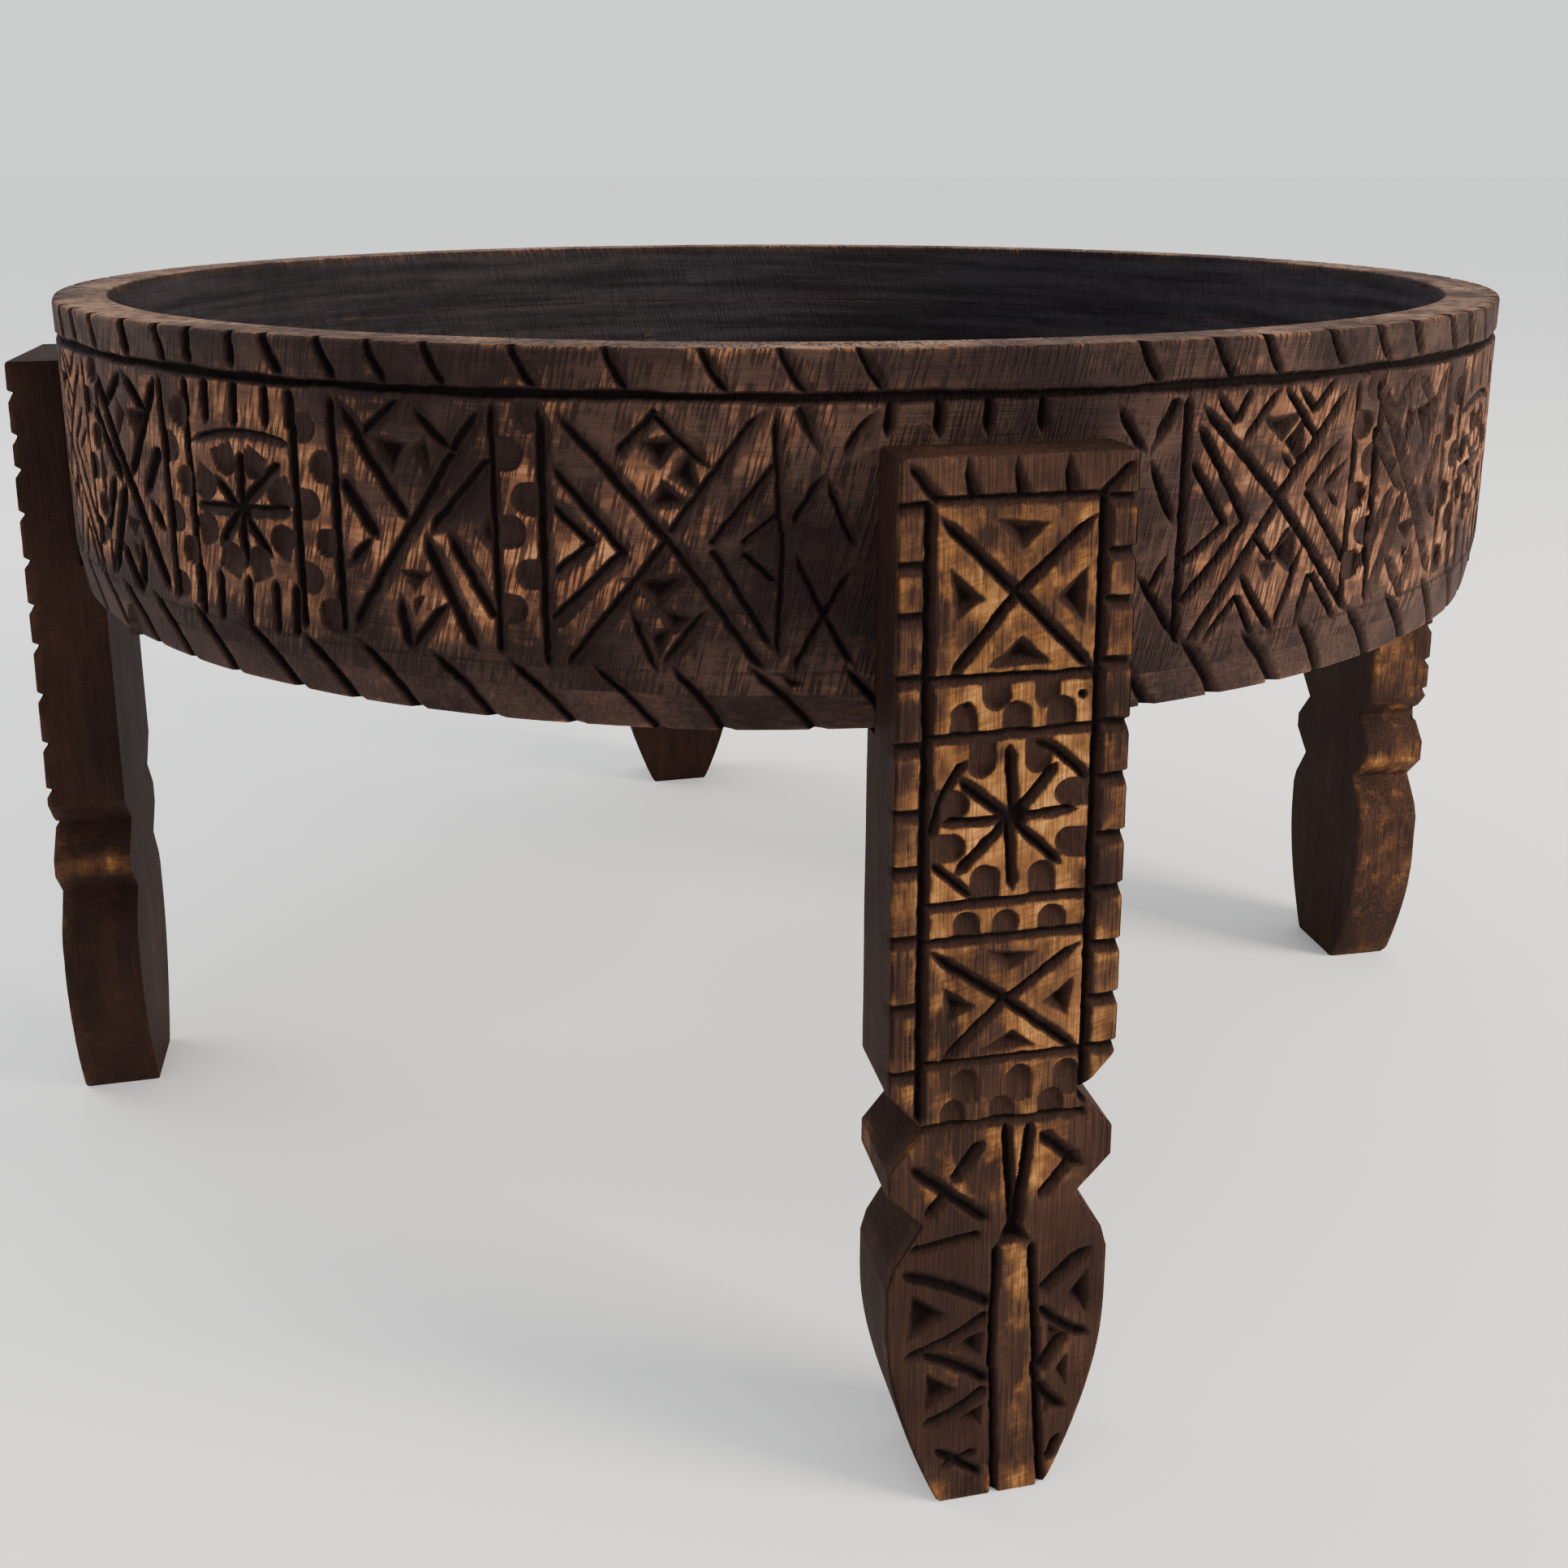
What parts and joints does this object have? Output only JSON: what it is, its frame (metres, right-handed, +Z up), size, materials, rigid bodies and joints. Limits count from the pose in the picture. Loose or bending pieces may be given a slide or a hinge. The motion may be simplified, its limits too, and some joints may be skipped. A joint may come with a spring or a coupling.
{
  "type": "low round carved table",
  "caption": "Low round table: a flat-bottomed wooden drum, open at the top like a bowl, carved round its wall and resting on notched, carved legs.",
  "frame": {"origin": "on the ground, under the middle of the drum", "axes": "+Z up, -Y towards the front leg, +X towards the right leg"},
  "size_m": [0.7026, 0.7024, 0.385],
  "materials": {
    "wall_wood": "dark scorched and stained wood, carved, worn to tan on the high edges",
    "floor_wood": "near-black stained boards, matt",
    "leg_wood": "dark stained wood with a strong upright grain, carved, worn to orange-tan",
    "screw_steel": "dull steel"
  },
  "bodies": {
    "root": {"wall_bottom_back_right": "wall_wood", "wall_bottom_back_left": "wall_wood", "wall_bottom_front_left": "wall_wood", "wall_bottom_front_right": "wall_wood", "wall_middle_back": "wall_wood", "wall_middle_left": "wall_wood", "wall_middle_front": "wall_wood", "wall_middle_right": "wall_wood", "wall_top_back_right": "wall_wood", "wall_top_back_left": "wall_wood", "wall_top_front_left": "wall_wood", "wall_top_front_right": "wall_wood", "floor_board_1": "floor_wood", "floor_board_2": "floor_wood", "floor_board_3": "floor_wood", "floor_board_4": "floor_wood", "leg_front": "leg_wood", "leg_right": "leg_wood", "leg_back": "leg_wood", "leg_left": "leg_wood", "leg_screw_front_low": "screw_steel", "leg_screw_front_high": "screw_steel", "leg_screw_right_low": "screw_steel", "leg_screw_right_high": "screw_steel", "leg_screw_back_low": "screw_steel", "leg_screw_back_high": "screw_steel", "leg_screw_left_low": "screw_steel", "leg_screw_left_high": "screw_steel", "floor_screw_1": "screw_steel", "floor_screw_2": "screw_steel", "floor_screw_3": "screw_steel", "floor_screw_4": "screw_steel", "floor_screw_5": "screw_steel", "floor_screw_6": "screw_steel", "floor_screw_7": "screw_steel", "floor_screw_8": "screw_steel"}
  },
  "joints": []
}
